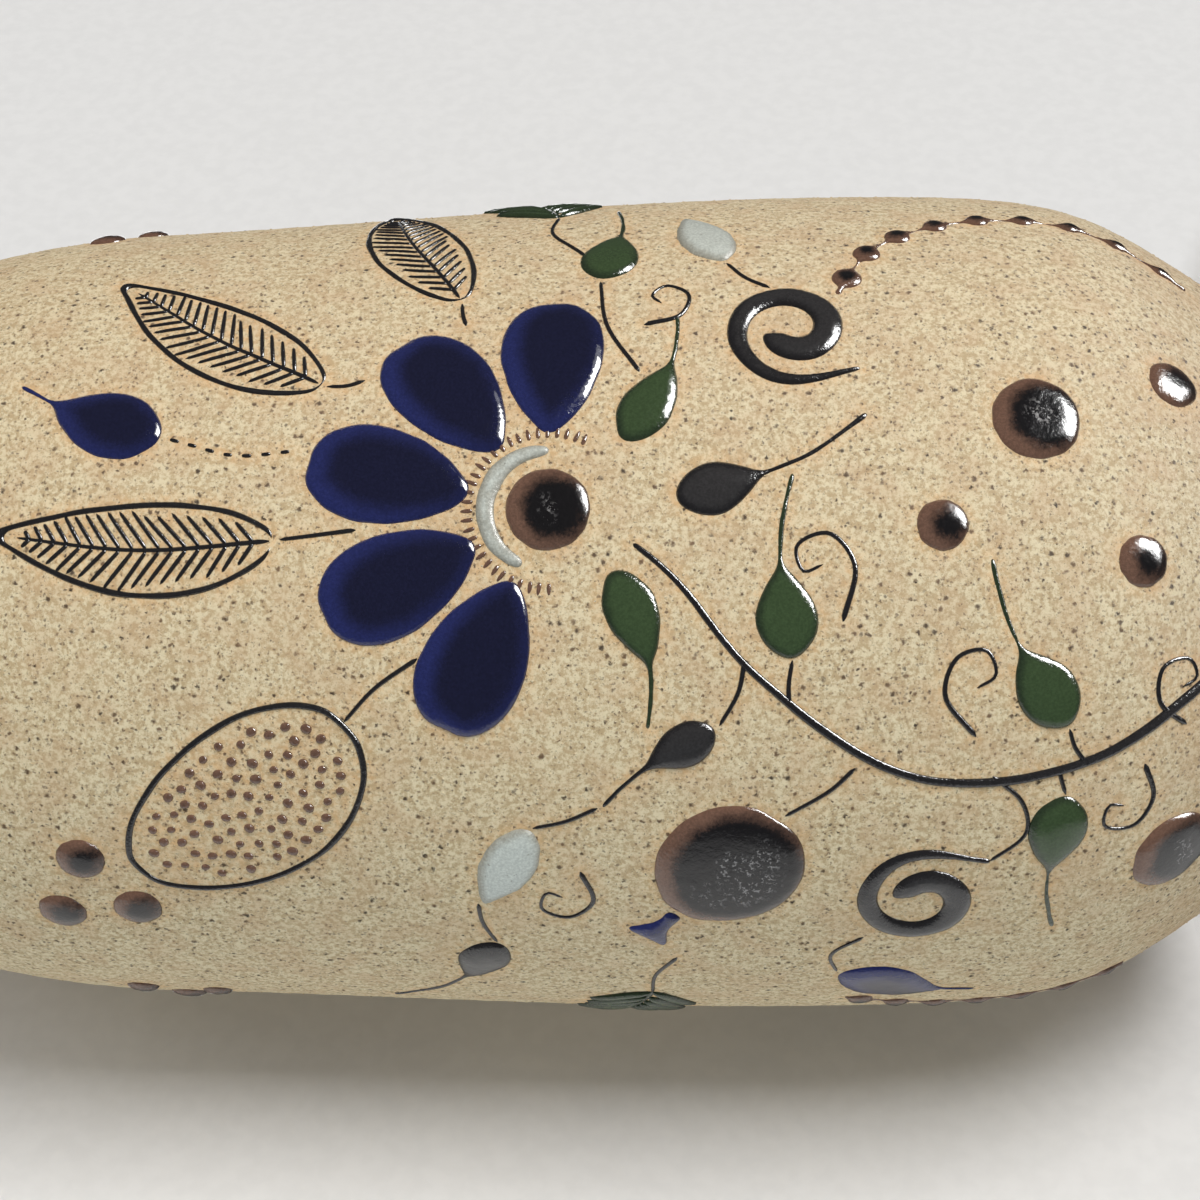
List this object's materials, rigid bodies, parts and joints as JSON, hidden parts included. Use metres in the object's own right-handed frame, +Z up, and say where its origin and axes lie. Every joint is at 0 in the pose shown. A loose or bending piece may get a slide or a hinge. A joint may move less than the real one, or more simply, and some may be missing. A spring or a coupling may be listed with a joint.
{
  "type": "vase",
  "caption": "Tall round-shouldered stoneware vase with a short flared neck, a trimmed foot ring and raised glaze flowers, leaves and dots on speckled bare clay.",
  "frame": {"origin": "middle of the foot, on the surface that the vase stands on", "axes": "+Z up along the vase's axis to the mouth, -Y towards the front of the painting, +X to the viewer's right"},
  "size_m": [0.1506, 0.1525, 0.308],
  "materials": {
    "clay": "bare sandy stoneware, matte, with dense dark iron specks and warm flashing near the foot",
    "liner_glaze": "thin glossy brown liner glaze",
    "cobalt_glaze": "thick glossy deep blue glaze, brighter blue where it thins at its edges",
    "iron_brown_glaze": "thick glossy iron glaze, red brown at its edges and mottled black in the middle",
    "leaf_green_glaze": "glossy leaf green glaze",
    "charcoal_glaze": "charcoal black glaze, softly glossy",
    "white_grey_glaze": "pale grey white glaze, mottled"
  },
  "bodies": {
    "root": {"vase_body": "clay", "neck_collar": "clay", "neck_band": "iron_brown_glaze", "rim_glaze_band": "iron_brown_glaze", "liner_glaze": "liner_glaze", "main_stem": "charcoal_glaze", "palmette_petal_1": "cobalt_glaze", "palmette_petal_2": "cobalt_glaze", "palmette_petal_3": "cobalt_glaze", "palmette_petal_4": "cobalt_glaze", "palmette_petal_5": "cobalt_glaze", "palmette_crescent": "white_grey_glaze", "palmette_heart": "iron_brown_glaze", "pomegranate_fruit": "iron_brown_glaze", "pomegranate_crown": "cobalt_glaze", "seed_pod": "charcoal_glaze", "plume_1": "charcoal_glaze", "plume_2": "charcoal_glaze", "plume_3": "charcoal_glaze", "palmette_sepal_1": "leaf_green_glaze", "palmette_sepal_2": "leaf_green_glaze", "green_leaf_1": "leaf_green_glaze", "green_leaf_2": "leaf_green_glaze", "green_leaf_3": "leaf_green_glaze", "green_leaf_4": "leaf_green_glaze", "dark_leaf_1": "charcoal_glaze", "dark_leaf_2": "charcoal_glaze", "dark_leaf_3": "charcoal_glaze", "cobalt_bud_1": "cobalt_glaze", "cobalt_bud_2": "cobalt_glaze", "white_leaf_1": "white_grey_glaze", "white_leaf_2": "white_grey_glaze", "scroll_1": "charcoal_glaze", "scroll_2": "charcoal_glaze", "fern_1": "leaf_green_glaze", "fern_2": "leaf_green_glaze", "bead_thread_1": "iron_brown_glaze", "bead_thread_2": "iron_brown_glaze", "dot_1": "iron_brown_glaze", "dot_2": "iron_brown_glaze", "dot_3": "iron_brown_glaze", "dot_4": "iron_brown_glaze", "dot_5": "iron_brown_glaze", "dot_6": "iron_brown_glaze", "dot_7": "iron_brown_glaze", "dot_8": "iron_brown_glaze", "back_palmette_petal_1": "cobalt_glaze", "back_palmette_petal_2": "cobalt_glaze", "back_palmette_petal_3": "cobalt_glaze", "back_palmette_petal_4": "cobalt_glaze", "back_palmette_petal_5": "cobalt_glaze", "back_palmette_crescent": "white_grey_glaze", "back_palmette_heart": "iron_brown_glaze", "back_fruit": "iron_brown_glaze", "back_crown": "cobalt_glaze", "back_scroll": "charcoal_glaze", "back_leaf_1": "leaf_green_glaze", "back_leaf_2": "charcoal_glaze", "back_dot_1": "iron_brown_glaze", "back_dot_2": "iron_brown_glaze"}
  },
  "joints": []
}
